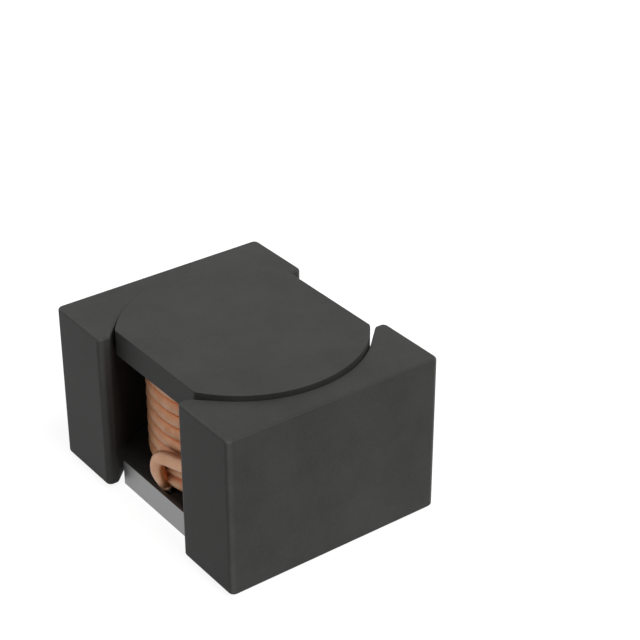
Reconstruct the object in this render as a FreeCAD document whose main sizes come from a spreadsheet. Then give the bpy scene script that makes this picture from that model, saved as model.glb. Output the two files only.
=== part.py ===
# Shielded surface-mount inductor: a wound ferrite drum between two C-shaped ferrite shields,
# standing on two folded terminals.
#
# Frame, millimetres: X runs from terminal to terminal, Y from shield to shield, Z up.
# The origin is the middle of the footprint, on the plane of the solder pads' undersides.

import FreeCAD, Part
import math
import os

import Sketcher
from FreeCAD import Placement, Rotation, Vector

# Driving dimensions, in millimetres and degrees
DRIVING = {
    # wound core
    "core_height": 2.905,
    "flange_radius": 2.04,
    "upper_flange": 0.456,
    "lower_flange": 0.400,
    "upper_flat_depth": 0.354,
    "window_depth": 1.17,
    "post_root_chamfer": 0.05,
    "seat_chamfer": 0.045,
    "notch_clearance": 0.02,
    # pair of shields
    "bore_clearance": 0.035,
    "shield_wall": 0.425,
    "leg_wall": 0.1514,
    "slot_width": 2.256,
    "flare_reach": 0.4144,
    "core_stand": 0.073,
    "shield_corner_radius": 0.10,
    "leg_corner_radius": 0.10,
    "shield_edge_radius": 0.05,
    # terminals
    "sheet": 0.08,
    "terminal_setback": 0.348,
    "band_rise": 0.004,
    "bend_inner_radius": 0.03,
    "bend_outer_radius": 0.025,
    "pad_width": 1.724,
    "pad_gap": 1.256,
    "pad_corner_radius": 0.12,
    # winding
    "wire": 0.24,
    "winding_layers": 3.0,
    "turn_relief": 0.10,
    "post_clearance": 0.01,
    "flange_clearance": 0.008,
    "layer_jog_angle": 40.0,
    "layer_jog_azimuth": 168.0,
    # leads
    "turns_below_lead": 2.0,
    "lead_rise": 0.09,
    "lead_standoff": 0.02,
    "lead_bulge": 0.012,
    "lead_sway": 0.07,
    "lead_exit_azimuth": -118.0,
    "lead_exit_sweep": 16.0,
    "lead_bend": 0.14,
    "lead_straight": 0.015,
    "lead_knee_above_band": 0.44,
    "lead_entry_above_band": 0.09,
    "lead_tip_recess": 0.09,
    "lead_fit": 0.007,
    # adhesive and solder
    "glue_arc": 70.0,
    "glue_recess": 0.10,
    "solder_foot_recess": 0.05,
    "solder_top_recess": 0.14,
    "solder_clearance": 0.01,
}


class Size:
    """A length that carries its value and the expression that a property is bound to."""

    def __init__(self, value, text):
        self.value = float(value)
        self.text = text

    def join(self, other, sign, value):
        other_text = other.text if isinstance(other, Size) else repr(other)
        return Size(value, "(%s %s %s)" % (self.text, sign, other_text))

    def __add__(self, other):
        return self.join(other, "+", self.value + number(other))

    def __sub__(self, other):
        return self.join(other, "-", self.value - number(other))

    def __mul__(self, other):
        return self.join(other, "*", self.value * number(other))

    def __truediv__(self, other):
        return self.join(other, "/", self.value / number(other))

    def __neg__(self):
        return Size(-self.value, "(-1 * %s)" % self.text)


def number(size):
    """The plain value of a Size or of a number."""
    return size.value if isinstance(size, Size) else float(size)


def square_root(size):
    """The square root of a Size."""
    return Size(math.sqrt(size.value), "sqrt(%s)" % size.text)


def smaller(first, second):
    """The smaller of two Sizes."""
    return Size(min(first.value, second.value), "min(%s; %s)" % (first.text, second.text))


doc = FreeCAD.newDocument("ShieldedInductor")
sheet = doc.addObject("Spreadsheet::Sheet", "sizes")
for row, (alias, value) in enumerate(DRIVING.items(), start=1):
    sheet.set("A%d" % row, alias)
    sheet.set("B%d" % row, repr(value))
    sheet.setAlias("B%d" % row, alias)
doc.recompute()


def size(alias):
    """The driving dimension of that name, bound to its cell."""
    return Size(sheet.get(alias), "sizes." + alias)


ZERO = Size(0.0, "0")

# Derived sizes
flange_radius = size("flange_radius")
post_radius = flange_radius - size("window_depth")
bore_radius = flange_radius + size("bore_clearance")
half_slot = size("slot_width") / 2
# the bore is round as far as the flare, then runs straight on, on its tangent, to the leg's end
flare_y = half_slot + size("flare_reach")
flare_x = square_root(bore_radius * bore_radius - flare_y * flare_y)
leg_x = (bore_radius * bore_radius - half_slot * flare_y) / flare_x
half_width = leg_x + size("leg_wall")
half_length = bore_radius + size("shield_wall")
leg_corner_radius = smaller(size("leg_corner_radius"), size("leg_wall") * 0.68)
base = size("sheet")
core_top = base + size("core_height")
shield_top = core_top - size("core_stand")
window_floor = base + size("lower_flange")
window_roof = core_top - size("upper_flange")
upper_flat = flange_radius - size("upper_flat_depth")
terminal_face = flange_radius - size("terminal_setback")
lower_flat = terminal_face - size("sheet")
band_top = window_floor + size("band_rise")
wire_radius = size("wire") / 2
coil_bore = post_radius + size("post_clearance")
coil_radius = coil_bore + size("wire") * size("winding_layers")
outer_turn_radius = coil_radius - wire_radius
crevice_radius = coil_radius - size("turn_relief")
inner_layers_radius = coil_radius - size("wire")
coil_floor = window_floor + size("flange_clearance")
coil_roof = window_roof - size("flange_clearance")
turns_in_layer = math.floor((coil_roof - coil_floor).value / size("wire").value)
outer_layer_floor = coil_roof - size("wire") * float(turns_in_layer)
lead_end_x = lower_flat - size("lead_fit") - wire_radius
notch_floor = lead_end_x - wire_radius - size("notch_clearance")
notch_half_width = wire_radius + size("notch_clearance")
solder_foot = base + size("solder_foot_recess")
solder_top = window_floor - size("solder_top_recess")


def origin_feature(body, role):
    """The plane or axis of a body's own origin that has this role."""
    return [feature for feature in body.Origin.OriginFeatures if feature.Role == role][0]


def new_body(label, turned=0.0):
    """A body with its own label, turned about Z by the given angle."""
    body = doc.addObject("PartDesign::Body", label + "_body")
    body.Label = label
    body.Placement = Placement(Vector(), Rotation(Vector(0, 0, 1), turned))
    return body


def new_sketch(body, name, plane, height=None, turned=None):
    """A sketch on an origin plane, lifted along its normal or turned about its upright axis."""
    sketch = body.newObject("Sketcher::SketchObject", name)
    sketch.AttachmentSupport = [(origin_feature(body, plane), "")]
    sketch.MapMode = "FlatFace"
    if height is not None:
        sketch.setExpression("AttachmentOffset.Base.z", height.text)
    if turned is not None:
        sketch.AttachmentOffset = Placement(Vector(), Rotation(Vector(0, 1, 0), turned.value))
        sketch.setExpression("AttachmentOffset.Rotation.Angle", turned.text)
    return sketch


def fix_point(sketch, edge, end, point):
    """Ties one end of an edge to a place given by two sizes."""
    for kind, coordinate in (("DistanceX", point[0]), ("DistanceY", point[1])):
        index = sketch.addConstraint(
            Sketcher.Constraint(kind, -1, 1, edge, end, coordinate.value))
        sketch.setExpression("Constraints[%d]" % index, coordinate.text)


def draw_outline(sketch, corners):
    """A closed outline of straight edges through the corners, in their order."""
    first = sketch.GeometryCount
    count = len(corners)
    for i, corner in enumerate(corners):
        following = corners[(i + 1) % count]
        sketch.addGeometry(Part.LineSegment(
            Vector(corner[0].value, corner[1].value, 0),
            Vector(following[0].value, following[1].value, 0)), False)
    for i, corner in enumerate(corners):
        sketch.addConstraint(
            Sketcher.Constraint("Coincident", first + i, 2, first + (i + 1) % count, 1))
        fix_point(sketch, first + i, 1, corner)


def draw_rectangle(sketch, low_x, high_x, low_y, high_y):
    """A rectangle between two pairs of sizes."""
    draw_outline(sketch, [(low_x, low_y), (high_x, low_y), (high_x, high_y), (low_x, high_y)])


def draw_circle(sketch, radius):
    """A circle about the sketch's origin."""
    edge = sketch.addGeometry(Part.Circle(Vector(), Vector(0, 0, 1), radius.value), False)
    sketch.addConstraint(Sketcher.Constraint("Coincident", edge, 3, -1, 1))
    index = sketch.addConstraint(Sketcher.Constraint("Radius", edge, radius.value))
    sketch.setExpression("Constraints[%d]" % index, radius.text)


def pad(body, name, sketch, length, both_ways=False):
    """Pads a sketch along its normal, or half each way."""
    feature = body.newObject("PartDesign::Pad", name)
    feature.Profile = sketch
    feature.Midplane = both_ways
    feature.setExpression("Length", length.text)
    return feature


def pocket(body, name, sketch, length=None, upwards=False):
    """Cuts a sketch into the body, to a depth or right through."""
    before = solid_of(body)
    feature = body.newObject("PartDesign::Pocket", name)
    feature.Profile = sketch
    feature.Reversed = upwards
    if length is None:
        feature.Type = "ThroughAll"
    else:
        feature.setExpression("Length", length.text)
    doc.recompute()
    if not body.Shape.Volume < before.Volume:
        raise RuntimeError(name + " removed nothing")
    return feature


def solid_of(body):
    """The body's shape in its own frame after a recompute."""
    doc.recompute()
    return body.Tip.Shape


def edges_where(shape, test):
    """Names of the edges whose middle point and direction pass the test."""
    names = []
    for i, edge in enumerate(shape.Edges, start=1):
        middle = edge.valueAt((edge.FirstParameter + edge.LastParameter) / 2)
        along = edge.tangentAt((edge.FirstParameter + edge.LastParameter) / 2)
        if test(middle, along, edge):
            names.append("Edge%d" % i)
    return names


def dress(body, kind, name, radius, test):
    """Adds a fillet or a chamfer to the edges of the body that pass the test."""
    base_feature = body.Tip
    names = edges_where(solid_of(body), test)
    if not names:
        raise RuntimeError(name + " found no edges")
    feature = body.newObject("PartDesign::" + kind, name)
    feature.Base = (base_feature, names)
    feature.setExpression("Radius" if kind == "Fillet" else "Size", radius.text)
    doc.recompute()
    return feature


NEAR = 1e-4
PIPE_TOLERANCE = 0.01


class PipeCorners:
    """The ways in which a swept pipe turns a sharp corner."""

    MITRED = 1


def near(a, b):
    """Whether two numbers are the same within the modelling tolerance."""
    return abs(number(a) - number(b)) < NEAR


def upright_at(x, y):
    """A test for vertical edges that stand at plus or minus x and at y."""
    return lambda middle, along, edge: (
        abs(along.z) > 1 - NEAR and near(abs(middle.x), x) and near(middle.y, y))


# Drum core: one pressed and sintered ferrite piece
def make_core():
    body = new_body("drum_core")
    radius, post = flange_radius, post_radius

    section = new_sketch(body, "core_section", "XZ_Plane")
    draw_outline(section, [
        (ZERO, base), (radius, base), (radius, window_floor), (post, window_floor),
        (post, window_roof), (radius, window_roof), (radius, core_top), (ZERO, core_top)])
    turned = body.newObject("PartDesign::Revolution", "core_turned")
    turned.Profile = section
    turned.ReferenceAxis = (section, ["V_Axis"])
    turned.Angle = 360.0
    doc.recompute()

    dress(body, "Chamfer", "post_roots", size("post_root_chamfer"),
          lambda middle, along, edge: near(math.hypot(middle.x, middle.y), post)
          and abs(along.z) < NEAR)

    # two flats on each flange; the lower pair is set back by the terminals' sheet
    beyond = radius + size("sheet")
    for name, height, flat, depth in (
            ("upper_flats", core_top, upper_flat, size("upper_flange")),
            ("lower_flats", window_floor, lower_flat, size("lower_flange"))):
        outline = new_sketch(body, name + "_outline", "XY_Plane", height)
        draw_rectangle(outline, flat, beyond, -radius, radius)
        draw_rectangle(outline, -beyond, -flat, -radius, radius)
        pocket(body, name, outline, depth)

    # the lower flats' bottom edges clear the inside of the terminals' bend
    dress(body, "Chamfer", "seat_chamfers", size("seat_chamfer"),
          lambda middle, along, edge: near(abs(middle.x), lower_flat) and near(middle.z, base)
          and abs(along.y) > 1 - NEAR)

    # a notch in each lower flat takes the wire's end down behind the terminal
    outline = new_sketch(body, "notches_outline", "XY_Plane", window_floor)
    draw_rectangle(outline, notch_floor, beyond, -notch_half_width, notch_half_width)
    draw_rectangle(outline, -beyond, -notch_floor, -notch_half_width, notch_half_width)
    pocket(body, "notches", outline, size("lower_flange"))
    return body


# Terminal: tinned sheet folded from the band on the flange's flat to the solder pad beneath
def make_terminal(label, turned):
    body = new_body(label, turned)
    thick, inner_radius = size("sheet"), size("bend_inner_radius")
    outer, inner = -terminal_face, -lower_flat
    pad_end = -(size("pad_gap") / 2)
    half_pad = size("pad_width") / 2
    reach = flange_radius

    section = new_sketch(body, label + "_section", "XZ_Plane")
    draw_outline(section, [
        (outer, ZERO), (pad_end, ZERO), (pad_end, thick), (inner, thick),
        (inner, band_top), (outer, band_top)])
    pad(body, label + "_strip", section, reach * 2, both_ways=True)
    dress(body, "Fillet", label + "_bend_inside", inner_radius,
          lambda middle, along, edge: near(middle.x, inner) and near(middle.z, thick)
          and abs(along.y) > 1 - NEAR)
    dress(body, "Fillet", label + "_bend_outside", size("bend_outer_radius"),
          lambda middle, along, edge: near(middle.x, outer) and near(middle.z, 0)
          and abs(along.y) > 1 - NEAR)

    # shoulders: only the pad's width goes on under the core
    shoulder = inner + inner_radius
    outline = new_sketch(body, label + "_shoulders_outline", "XY_Plane")
    draw_rectangle(outline, shoulder, ZERO, half_pad, reach)
    draw_rectangle(outline, shoulder, ZERO, -reach, -half_pad)
    pocket(body, label + "_shoulders", outline, upwards=True)

    # the band's ends follow the flange's round outline
    outline = new_sketch(body, label + "_ends_outline", "XY_Plane")
    draw_rectangle(outline, -reach - thick, reach + thick, -reach - thick, reach + thick)
    draw_circle(outline, reach)
    pocket(body, label + "_ends", outline, upwards=True)

    dress(body, "Fillet", label + "_pad_corners", size("pad_corner_radius"),
          lambda middle, along, edge: abs(along.z) > 1 - NEAR and near(middle.x, pad_end)
          and near(abs(middle.y), half_pad))
    return body


# Shield: a ferrite block hollowed by the drum's bore, with a leg at each end
def make_shield(label, turned):
    body = new_body(label, turned)

    outline = new_sketch(body, label + "_outline", "XY_Plane", base)
    draw_rectangle(outline, -half_width, half_width, -half_length, -half_slot)
    pad(body, label + "_block", outline, shield_top - base)
    hollow = new_sketch(body, label + "_bore_outline", "XY_Plane", base)
    draw_circle(hollow, bore_radius)
    pocket(body, label + "_bore", hollow, upwards=True)
    flare = new_sketch(body, label + "_flare_outline", "XY_Plane", base)
    draw_outline(flare, [
        (-flare_x, -flare_y), (flare_x, -flare_y), (bore_radius * bore_radius / flare_x, ZERO),
        (-(bore_radius * bore_radius / flare_x), ZERO)])
    pocket(body, label + "_flare", flare, upwards=True)

    dress(body, "Fillet", label + "_corners", size("shield_corner_radius"),
          upright_at(half_width, -half_length))
    dress(body, "Fillet", label + "_leg_corners", leg_corner_radius,
          upright_at(half_width, -half_slot))
    dress(body, "Fillet", label + "_edges", size("shield_edge_radius"),
          lambda middle, along, edge: near(middle.z, base) or near(middle.z, shield_top))
    return body


# Adhesive bead in the gap between a flange and a shield
def make_glue(label, low, high, turned):
    body = new_body(label, turned)
    section = new_sketch(body, label + "_section", "XZ_Plane")
    draw_rectangle(section, flange_radius, bore_radius, low, high)
    bead = body.newObject("PartDesign::Revolution", label + "_bead")
    bead.Profile = section
    bead.ReferenceAxis = (section, ["V_Axis"])
    bead.Midplane = True
    bead.setExpression("Angle", size("glue_arc").text)
    doc.recompute()
    return body


# Coil: the turns' section turned about the post, as one solid, its outer layer in relief
def make_coil():
    body = new_body("coil")
    root = size("post_root_chamfer") + size("flange_clearance")
    corners = [(coil_bore + root, coil_floor), (inner_layers_radius, coil_floor),
               (inner_layers_radius, outer_layer_floor)]
    for turn in range(turns_in_layer):
        below = outer_layer_floor + size("wire") * float(turn)
        corners.extend([(crevice_radius, below), (coil_radius, below + wire_radius / 2),
                        (coil_radius, below + size("wire") - wire_radius / 2)])
    corners.extend([(crevice_radius, coil_roof), (coil_bore + root, coil_roof),
                    (coil_bore, coil_roof - root), (coil_bore, coil_floor + root)])
    section = new_sketch(body, "coil_section", "XZ_Plane")
    draw_outline(section, corners)
    coil = body.newObject("PartDesign::Revolution", "coil_turned")
    coil.Profile = section
    coil.ReferenceAxis = (section, ["V_Axis"])
    coil.Angle = 360.0
    doc.recompute()

    # the lowest turn stops short on each side, where the wire steps up from the layer inside
    before = solid_of(body).Volume
    gap = new_sketch(body, "jog_section", "XZ_Plane", turned=size("layer_jog_azimuth"))
    draw_rectangle(gap, inner_layers_radius, coil_radius + size("lead_standoff"),
                   coil_floor, outer_layer_floor + size("wire"))
    jog = body.newObject("PartDesign::Groove", "jog")
    jog.Profile = gap
    jog.ReferenceAxis = (gap, ["V_Axis"])
    jog.Midplane = True
    jog.setExpression("Angle", size("layer_jog_angle").text)
    doc.recompute()
    pair = body.newObject("PartDesign::PolarPattern", "jog_pair")
    pair.Originals = [jog]
    pair.Axis = (origin_feature(body, "Z_Axis"), [""])
    pair.Angle = 360.0
    pair.Occurrences = 2
    body.Tip = pair
    doc.recompute()
    if not body.Shape.Volume < before:
        raise RuntimeError("the jog removed nothing")
    return body


def rounded_corner(before, corner, after, radius):
    """The tangent arc that rounds a corner, as its first, middle and last point."""
    into = (corner - before).normalize()
    out = (after - corner).normalize()
    half_turn = into.getAngle(out) / 2
    reach = radius * math.tan(half_turn)
    inward = (out - into).normalize()
    middle = corner + inward * (radius / math.cos(half_turn) - radius)
    return corner - into * reach, middle, corner + out * reach


def polar(radius, azimuth, height):
    """A point at a radius and an azimuth in degrees about Z."""
    angle = math.radians(azimuth)
    return Vector(radius * math.cos(angle), radius * math.sin(angle), height)


# Lead: leaves the coil behind the shield, runs round it and comes down into the notch
def make_lead(label, turned):
    level = (outer_layer_floor + size("wire") * size("turns_below_lead") + wire_radius
             + size("lead_rise")).value
    stand = (coil_radius + size("lead_standoff") + wire_radius).value
    exit_azimuth = size("lead_exit_azimuth").value
    bend, sway = size("lead_bend").value, size("lead_sway").value
    run = bend + size("lead_straight").value

    # straight runs lead into and out of the circle round the coil, on its tangents
    corner_radius = math.hypot(stand, run)
    swing = math.degrees(math.atan2(run, stand))

    # on a slant out of the outer layer, then round the coil
    foot = polar(outer_turn_radius.value, exit_azimuth + size("lead_exit_sweep").value, level)
    kink = polar(corner_radius, exit_azimuth, level)
    touch = polar(stand, exit_azimuth - swing, level)

    # the corner where it turns down
    corner_azimuth = -180 + math.degrees(math.asin(sway / corner_radius))
    corner = polar(corner_radius, corner_azimuth, level)
    leave = polar(stand, corner_azimuth + swing, level)
    half_way = polar(stand, (exit_azimuth + corner_azimuth) / 2, level)
    knee = Vector(-stand - size("lead_bulge").value, -sway,
                  (band_top + size("lead_knee_above_band")).value)
    entry = Vector(-lead_end_x.value, 0, (band_top + size("lead_entry_above_band")).value)
    tip = Vector(-lead_end_x.value, 0, (base + size("lead_tip_recess")).value)
    first, middle, last = rounded_corner(leave, corner, knee, bend)
    path = Part.Wire([
        Part.LineSegment(foot, kink).toShape(),
        Part.LineSegment(kink, touch).toShape(),
        Part.Arc(touch, half_way, leave).toShape(),
        Part.LineSegment(leave, first).toShape(),
        Part.Arc(first, middle, last).toShape(),
        Part.LineSegment(last, knee).toShape(),
        Part.LineSegment(knee, entry).toShape(),
        Part.LineSegment(entry, tip).toShape()])

    profile = Part.Wire([Part.makeCircle(wire_radius.value, foot, kink - foot)])
    shape = path.makePipeShell([profile], True, False, PipeCorners.MITRED)
    lead = doc.addObject("Part::Feature", label)
    lead.Shape = shape
    lead.Placement = Placement(Vector(), Rotation(Vector(0, 0, 1), turned))
    lead.Label = label
    section_area = math.pi * wire_radius.value ** 2
    if abs(shape.Volume / (path.Length * section_area) - 1) > PIPE_TOLERANCE:
        raise RuntimeError(label + " isn't a sound pipe")
    return lead


def make_winding(leads):
    winding = doc.addObject("Part::MultiFuse", "winding_fused")
    winding.Shapes = [make_coil()] + leads
    winding.Label = "winding"
    return winding


# Solder round the wire's end, between the notch and the terminal's band
def make_solder(label, lead, side):
    block = doc.addObject("Part::Box", label + "_block")
    depth = lower_flat - notch_floor - size("solder_clearance")
    width = (notch_half_width - size("solder_clearance")) * 2
    near_x = (notch_floor + size("solder_clearance")) if side > 0 else -lower_flat
    for name, value in (("Length", depth), ("Width", width),
                        ("Height", solder_top - solder_foot),
                        ("Placement.Base.x", near_x), ("Placement.Base.y", -(width / 2)),
                        ("Placement.Base.z", solder_foot)):
        block.setExpression(name, value.text)
    joint = doc.addObject("Part::Cut", label + "_cut")
    joint.Base = block
    joint.Tool = lead
    joint.Label = label
    return joint


lead_left = make_lead("lead_left", 0.0)
lead_right = make_lead("lead_right", 180.0)
glue_low = (base + size("glue_recess"), window_floor - size("glue_recess"))
glue_high = (window_roof + size("glue_recess"), shield_top - size("glue_recess"))
pieces = [
    make_core(),
    make_winding([lead_left, lead_right]),
    make_terminal("terminal_left", 0.0),
    make_terminal("terminal_right", 180.0),
    make_shield("shield_front", 0.0),
    make_shield("shield_rear", 180.0),
    make_solder("solder_left", lead_left, -1),
    make_solder("solder_right", lead_right, 1),
    make_glue("glue_front_lower", glue_low[0], glue_low[1], -90.0),
    make_glue("glue_front_upper", glue_high[0], glue_high[1], -90.0),
    make_glue("glue_rear_lower", glue_low[0], glue_low[1], 90.0),
    make_glue("glue_rear_upper", glue_high[0], glue_high[1], 90.0),
]
doc.recompute()

for item in doc.Objects:
    if "Invalid" in item.State or "Error" in item.State:
        raise RuntimeError(item.Label + " failed: " + ", ".join(item.State))
for piece in pieces:
    shape = piece.Shape
    if shape.isNull() or not shape.isValid() or len(shape.Solids) != 1:
        raise RuntimeError(piece.Label + " isn't one valid solid")

os.makedirs("parts", exist_ok=True)
for piece in pieces:
    piece.Shape.exportStep("parts/%s.step" % piece.Label)
    box = piece.Shape.BoundBox
    print("%-18s %8.4f mm3   X %6.3f..%6.3f  Y %6.3f..%6.3f  Z %6.3f..%6.3f" % (
        piece.Label, piece.Shape.Volume, box.XMin, box.XMax, box.YMin, box.YMax, box.ZMin, box.ZMax))
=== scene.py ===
"""Looks of a shielded surface-mount inductor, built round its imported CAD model.

A wound ferrite drum stands between two C-shaped ferrite shields on two folded terminals. Each
ferrite piece, the winding and the terminals get a finer mesh of the same form; the adhesive and
the solder keep their CAD solids and get a finish. Sizes are in millimetres, in the CAD frame.
"""

import logging
import math
from dataclasses import dataclass, field
from enum import Enum
from typing import Callable, Iterable, Sequence

import bpy
from mathutils import Matrix, Vector


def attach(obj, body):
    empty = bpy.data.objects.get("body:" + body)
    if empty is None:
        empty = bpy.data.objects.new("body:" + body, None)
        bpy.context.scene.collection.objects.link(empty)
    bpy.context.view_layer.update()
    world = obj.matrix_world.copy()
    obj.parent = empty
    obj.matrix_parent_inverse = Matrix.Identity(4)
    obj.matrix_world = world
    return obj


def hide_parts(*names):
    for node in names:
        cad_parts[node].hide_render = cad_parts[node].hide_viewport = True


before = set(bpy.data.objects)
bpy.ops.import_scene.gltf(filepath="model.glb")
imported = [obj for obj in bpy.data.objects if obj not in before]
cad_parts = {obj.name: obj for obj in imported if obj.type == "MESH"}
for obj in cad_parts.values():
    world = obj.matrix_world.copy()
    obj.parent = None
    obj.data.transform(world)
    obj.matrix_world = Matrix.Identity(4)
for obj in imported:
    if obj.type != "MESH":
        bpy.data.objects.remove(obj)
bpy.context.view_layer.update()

LOG = logging.getLogger("inductor")
MM = 0.001
# the segments of the smallest arc, and the distance at which two points are one
FEWEST_SEGMENTS = 4
TOUCHING = 1e-5


# colours and nodes


def srgb(code: str) -> tuple[float, float, float, float]:
    """Turns an sRGB hex colour to linear.

    Args:
        code: the colour as "#RRGGBB".

    Returns:
        Linear red, green and blue, and an alpha of 1.
    """
    channels = [int(code[i : i + 2], 16) / 255 for i in (1, 3, 5)]
    linear = [c / 12.92 if c <= 0.04045 else ((c + 0.055) / 1.055) ** 2.4 for c in channels]
    return (linear[0], linear[1], linear[2], 1.0)


def add_node(
    tree: bpy.types.NodeTree,
    kind: str,
    settings: dict[str | int, object] | None = None,
    links: dict[str | int, bpy.types.NodeSocket] | None = None,
) -> bpy.types.Node:
    """Adds a node with its settings and links.

    Args:
        tree: the node tree to add to.
        kind: the node's type name.
        settings: values by property name, or by socket name or number.
        links: output sockets by the name or number of the input that they feed.

    Returns:
        The new node.
    """
    node = tree.nodes.new(kind)
    for name, value in (settings or {}).items():
        if isinstance(name, int) or name in node.inputs:
            node.inputs[name].default_value = value
        else:
            setattr(node, name, value)
    for name, socket in (links or {}).items():
        tree.links.new(socket, node.inputs[name])
    return node


def per_mm(size: float) -> float:
    """The scale of a texture whose features are that many millimetres across."""
    return 1 / (size * MM)


def start_material(name: str) -> bpy.types.Material:
    """Starts a node material.

    Args:
        name: the material's name.

    Returns:
        The material, its node tree still empty.
    """
    material = bpy.data.materials.new(name)
    material.use_nodes = True
    material.node_tree.nodes.clear()
    return material


# finishes


@dataclass(frozen=True)
class Ferrite:
    """Nickel-zinc ferrite powder, pressed to shape and sintered.

    The eye gets a near-black ceramic that a satin skin lifts to charcoal, with a fine grain,
    faint clouds where the powder packed more or less densely, and edges that tumbling rounded.
    Painted highlights make some corners and eased edges paler, and painted shade makes other
    eased edges and the drum's round rims darker.
    """

    name: str = "sintered_ferrite"
    dense: str = "#323231"
    open_grain: str = "#40403F"
    roughness: tuple[float, float] = (0.48, 0.6)
    specular: float = 0.15
    # the powder packs unevenly over about a millimetre
    cloud: float = 0.9
    # the powder's grain is about 0.01 mm; 0.035 mm is the finest that shows at this size
    grain: float = 0.035
    grain_depth: float = 0.0016
    grain_share: float = 0.45
    tone_span: tuple[float, float] = (0.42, 1.0)
    # pores are about 0.02 mm; cells of 0.11 mm draw them few and wide enough to show
    pit: float = 0.11
    pit_rim: tuple[float, float] = (0.05, 0.16)
    pit_depth: float = 0.004

    def material(self) -> bpy.types.Material:
        """Builds the finish.

        Returns:
            The material.
        """
        material = start_material(self.name)
        tree = material.node_tree
        place = add_node(tree, "ShaderNodeTexCoord").outputs["Object"]
        cloud = add_node(
            tree,
            "ShaderNodeTexNoise",
            {"Scale": per_mm(self.cloud), "Detail": 3.0, "Roughness": 0.6},
            {"Vector": place},
        )
        grain = add_node(
            tree,
            "ShaderNodeTexNoise",
            {"Scale": per_mm(self.grain), "Detail": 2.0, "Roughness": 0.7},
            {"Vector": place},
        )
        pits = add_node(
            tree,
            "ShaderNodeTexVoronoi",
            {"Scale": per_mm(self.pit), "Randomness": 1.0},
            {"Vector": place},
        )
        pit_mask = add_node(
            tree,
            "ShaderNodeMapRange",
            {"From Min": self.pit_rim[0], "From Max": self.pit_rim[1]},
            {"Value": pits.outputs["Distance"]},
        )
        tone = add_node(
            tree,
            "ShaderNodeMath",
            {"operation": "MULTIPLY_ADD", 1: self.grain_share},
            {0: grain.outputs["Fac"], 2: cloud.outputs["Fac"]},
        )
        tone_range = add_node(
            tree,
            "ShaderNodeMapRange",
            {"From Min": self.tone_span[0], "From Max": self.tone_span[1]},
            {"Value": tone.outputs[0]},
        )
        body = add_node(
            tree,
            "ShaderNodeMix",
            {"data_type": "RGBA", 6: srgb(self.dense), 7: srgb(self.open_grain)},
            {0: tone_range.outputs[0]},
        )
        # the edge attribute scales the colour: painted highlights on the shields' corners and
        # eased edges, painted shade on other eased edges and on the drum's rims
        edge = add_node(tree, "ShaderNodeAttribute", {"attribute_name": "edge"})
        wear_and_painted_light = add_node(
            tree,
            "ShaderNodeMath",
            {"operation": "ADD", 1: 1.0},
            {0: edge.outputs["Fac"]},
        )
        colour = add_node(
            tree,
            "ShaderNodeVectorMath",
            {"operation": "SCALE"},
            {0: body.outputs[2], "Scale": wear_and_painted_light.outputs[0]},
        )
        matt = add_node(
            tree,
            "ShaderNodeMapRange",
            {"To Min": self.roughness[0], "To Max": self.roughness[1]},
            {"Value": cloud.outputs["Fac"]},
        )
        fine = add_node(
            tree,
            "ShaderNodeBump",
            {"Strength": 1.0, "Distance": self.grain_depth * MM},
            {"Height": grain.outputs["Fac"]},
        )
        pitted = add_node(
            tree,
            "ShaderNodeBump",
            {"Strength": 0.5, "Distance": self.pit_depth * MM},
            {"Height": pit_mask.outputs[0], "Normal": fine.outputs[0]},
        )
        shader = add_node(
            tree,
            "ShaderNodeBsdfPrincipled",
            {"Specular IOR Level": self.specular},
            {
                "Base Color": colour.outputs[0],
                "Roughness": matt.outputs[0],
                "Normal": pitted.outputs[0],
            },
        )
        add_node(tree, "ShaderNodeOutputMaterial", links={"Surface": shader.outputs[0]})
        return material


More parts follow.
